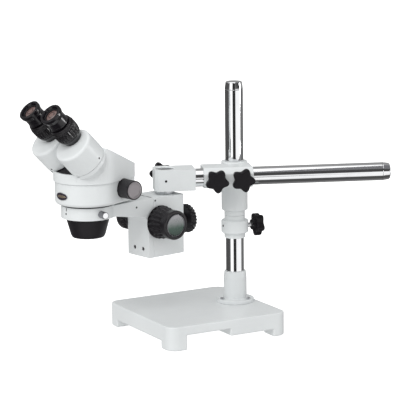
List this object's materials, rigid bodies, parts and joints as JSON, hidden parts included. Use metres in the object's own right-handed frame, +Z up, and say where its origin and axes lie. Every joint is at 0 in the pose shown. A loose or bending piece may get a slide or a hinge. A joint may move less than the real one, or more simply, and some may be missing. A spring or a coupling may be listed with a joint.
{
  "type": "stereo microscope on a single-arm boom stand",
  "caption": "Zoom stereo microscope head in a focusing bracket, carried by a sliding boom on an upright post and a flat base.",
  "frame": {"origin": "middle of the whole object's box in X and Y, at the level of the table that its rubber feet stand on", "axes": "+X along the base from its front edge, under the objective, to its rear edge behind the post; +Y to the left of someone who looks through the eyepieces along +X; +Z up"},
  "size_m": [0.6572, 0.2716, 0.441],
  "materials": {
    "painted_steel": "satin",
    "painted_alloy": "satin",
    "chrome": "polished",
    "steel": "satin",
    "brass": "satin",
    "black_plastic": "matte",
    "black_alloy": "satin",
    "focus_disc": "polished",
    "zoom_disc": "satin",
    "badge": "satin",
    "glass": "polished",
    "rubber": "matte"
  },
  "bodies": {
    "base": {"base_plate": "painted_steel", "rubber_foot_front_right": "rubber", "rubber_foot_front_left": "rubber", "rubber_foot_rear_right": "rubber", "rubber_foot_rear_left": "rubber", "post_flange": "painted_steel", "flange_screw_1": "steel", "flange_screw_2": "steel", "flange_screw_3": "steel", "post_tube": "chrome", "post_cap": "chrome"},
    "collar": {"safety_collar": "painted_steel"},
    "collar_screw": {"collar_knob": "black_plastic"},
    "clamp": {"cross_clamp": "painted_alloy"},
    "clamp_screw_1": {"boom_knob_1": "black_plastic"},
    "clamp_screw_2": {"boom_knob_2": "black_plastic"},
    "boom": {"boom_tube": "chrome", "boom_cap": "chrome"},
    "swivel": {"swivel_block": "painted_alloy"},
    "swivel_screw": {"swivel_knob": "black_plastic"},
    "focus_mount": {"stub_post": "steel", "focus_body": "painted_alloy"},
    "clamp_wheel": {"stub_clamp_wheel": "black_plastic"},
    "tension_ring": {"tension_collar": "black_plastic"},
    "focus_drive": {"focus_shaft": "steel", "focus_knob_right": "black_plastic", "focus_knob_left": "black_plastic", "focus_cap_right": "focus_disc", "focus_cap_left": "focus_disc"},
    "bracket": {"focus_bracket": "painted_alloy", "dovetail_slide": "brass", "focus_rack": "steel", "bracket_screw_1": "steel", "bracket_screw_2": "steel"},
    "ring_screw": {"ring_thumb_screw": "steel"},
    "head": {"head_lower_housing": "painted_alloy", "head_upper_housing": "painted_alloy", "prism_seat_plate": "black_alloy", "objective_shroud": "black_alloy", "objective_lens": "glass", "name_badge": "badge"},
    "zoom_drive": {"zoom_shaft": "steel", "zoom_knob_right": "black_plastic", "zoom_knob_left": "black_plastic", "zoom_cap_right": "zoom_disc", "zoom_cap_left": "zoom_disc"},
    "zoom_group_lower": {"zoom_carrier_lower": "brass"},
    "zoom_group_upper": {"zoom_carrier_upper": "brass"},
    "prism_tube_right": {"prism_housing_right": "painted_alloy", "prism_right": "glass", "eye_tube_right": "black_alloy"},
    "diopter_right": {"diopter_ring_right": "black_alloy"},
    "ocular_right": {"eyepiece_right": "black_plastic", "eye_lens_right": "glass"},
    "prism_tube_left": {"prism_housing_left": "painted_alloy", "prism_left": "glass", "eye_tube_left": "black_alloy"},
    "diopter_left": {"diopter_ring_left": "black_alloy"},
    "ocular_left": {"eyepiece_left": "black_plastic", "eye_lens_left": "glass"}
  },
  "joints": [
    {"name": "collar_height", "type": "slide", "parent": "base", "child": "collar", "axis": [0, 0, 1], "range_m": [-0.06, 0.12]},
    {"name": "clamp_turn", "type": "hinge", "parent": "collar", "child": "clamp", "pos_m": [0.08792, 0.01757, 0.24], "axis": [0, 0, 1], "range_deg": [-180, 180]},
    {"name": "boom_reach", "type": "slide", "parent": "clamp", "child": "boom", "axis": [0.9333, -0.3592, 0], "range_m": [-0.2, 0.01]},
    {"name": "boom_roll", "type": "hinge", "parent": "boom", "child": "swivel", "pos_m": [-0.02193, 0.01056, 0.2795], "axis": [0.9333, -0.3592, 0], "range_deg": [-45, 45]},
    {"name": "stub_turn", "type": "hinge", "parent": "swivel", "child": "focus_mount", "pos_m": [-0.04992, 0.02134, 0.2795], "axis": [0, 0, 1], "range_deg": [-60, 80]},
    {"name": "focus_travel", "type": "slide", "parent": "focus_mount", "child": "bracket", "axis": [0, 0, 1], "range_m": [-0.025, 0.025]},
    {"name": "focus_knobs", "type": "hinge", "parent": "focus_mount", "child": "focus_drive", "pos_m": [-0.08722, 0.01409, 0.213], "axis": [-0.1908, 0.9816, 0], "range_deg": [-240, 240]},
    {"name": "tension_turn", "type": "hinge", "parent": "focus_mount", "child": "tension_ring", "pos_m": [-0.07997, -0.02321, 0.213], "axis": [0.1908, -0.9816, 0], "range_deg": [-30, 30]},
    {"name": "head_turn", "type": "hinge", "parent": "bracket", "child": "head", "pos_m": [-0.21533, -0.01081, 0.247], "axis": [0, 0, 1], "range_deg": [-180, 180]},
    {"name": "zoom_turn", "type": "hinge", "parent": "head", "child": "zoom_drive", "pos_m": [-0.1741, -0.0028, 0.285], "axis": [-0.1908, 0.9816, 0], "range_deg": [-150, 150]},
    {"name": "zoom_lower", "type": "slide", "parent": "head", "child": "zoom_group_lower", "axis": [0, 0, 1], "range_m": [-0.004, 0.004]},
    {"name": "zoom_upper", "type": "slide", "parent": "head", "child": "zoom_group_upper", "axis": [0, 0, 1], "range_m": [-0.004, 0.004]},
    {"name": "collar_screw_turn", "type": "hinge", "parent": "collar", "child": "collar_screw", "pos_m": [0.08792, 0.01757, 0.18145], "axis": [0.9903, -0.1392, 0], "range_deg": [0, 540]},
    {"name": "clamp_screw_1_turn", "type": "hinge", "parent": "clamp", "child": "clamp_screw_1", "pos_m": [0.03174, -0.01009, 0.2775], "axis": [-0.3592, -0.9333, 0], "range_deg": [0, 540]},
    {"name": "clamp_screw_2_turn", "type": "hinge", "parent": "clamp", "child": "clamp_screw_2", "pos_m": [0.07467, -0.02661, 0.2775], "axis": [-0.3592, -0.9333, 0], "range_deg": [0, 540]},
    {"name": "swivel_screw_turn", "type": "hinge", "parent": "swivel", "child": "swivel_screw", "pos_m": [-0.04992, 0.02134, 0.2795], "axis": [0.3592, 0.9333, 0], "range_deg": [0, 540]},
    {"name": "clamp_wheel_turn", "type": "hinge", "parent": "focus_mount", "child": "clamp_wheel", "pos_m": [-0.04992, 0.02134, 0.203], "axis": [0.9816, 0.1908, 0], "range_deg": [0, 540]},
    {"name": "ring_screw_turn", "type": "hinge", "parent": "bracket", "child": "ring_screw", "pos_m": [-0.21533, -0.01081, 0.2463], "axis": [0.0523, -0.9986, 0], "range_deg": [0, 720]},
    {"name": "pupil_distance_right", "type": "hinge", "parent": "head", "child": "prism_tube_right", "pos_m": [-0.2636, -0.05595, 0.3694], "axis": [-0.6889, -0.1606, 0.7069], "range_deg": [-45, 18]},
    {"name": "diopter_turn_right", "type": "hinge", "parent": "prism_tube_right", "child": "diopter_right", "pos_m": [-0.25741, -0.04772, 0.37731], "axis": [-0.6889, -0.1606, 0.7069], "range_deg": [-150, 150]},
    {"name": "ocular_travel_right", "type": "slide", "parent": "prism_tube_right", "child": "ocular_right", "axis": [-0.6889, -0.1606, 0.7069], "range_m": [-0.0015, 0.0015]},
    {"name": "pupil_distance_left", "type": "hinge", "parent": "head", "child": "prism_tube_left", "pos_m": [-0.277, 0.01296, 0.3694], "axis": [-0.6989, -0.1092, 0.7069], "range_deg": [-18, 45]},
    {"name": "diopter_turn_left", "type": "hinge", "parent": "prism_tube_left", "child": "diopter_left", "pos_m": [-0.26817, 0.00764, 0.37731], "axis": [-0.6989, -0.1092, 0.7069], "range_deg": [-150, 150]},
    {"name": "ocular_travel_left", "type": "slide", "parent": "prism_tube_left", "child": "ocular_left", "axis": [-0.6989, -0.1092, 0.7069], "range_m": [-0.0015, 0.0015]}
  ],
  "couplings": [
    {"joint": "focus_knobs", "follows": "focus_travel", "rad_per_m": 166.67},
    {"joint": "zoom_lower", "follows": "zoom_turn", "m_per_rad": 0.0015},
    {"joint": "zoom_upper", "follows": "zoom_turn", "m_per_rad": -0.0015},
    {"joint": "ocular_travel_right", "follows": "diopter_turn_right", "m_per_rad": 0.00057},
    {"joint": "ocular_travel_left", "follows": "diopter_turn_left", "m_per_rad": 0.00057},
    {"joint": "pupil_distance_left", "follows": "pupil_distance_right", "ratio": -1}
  ]
}
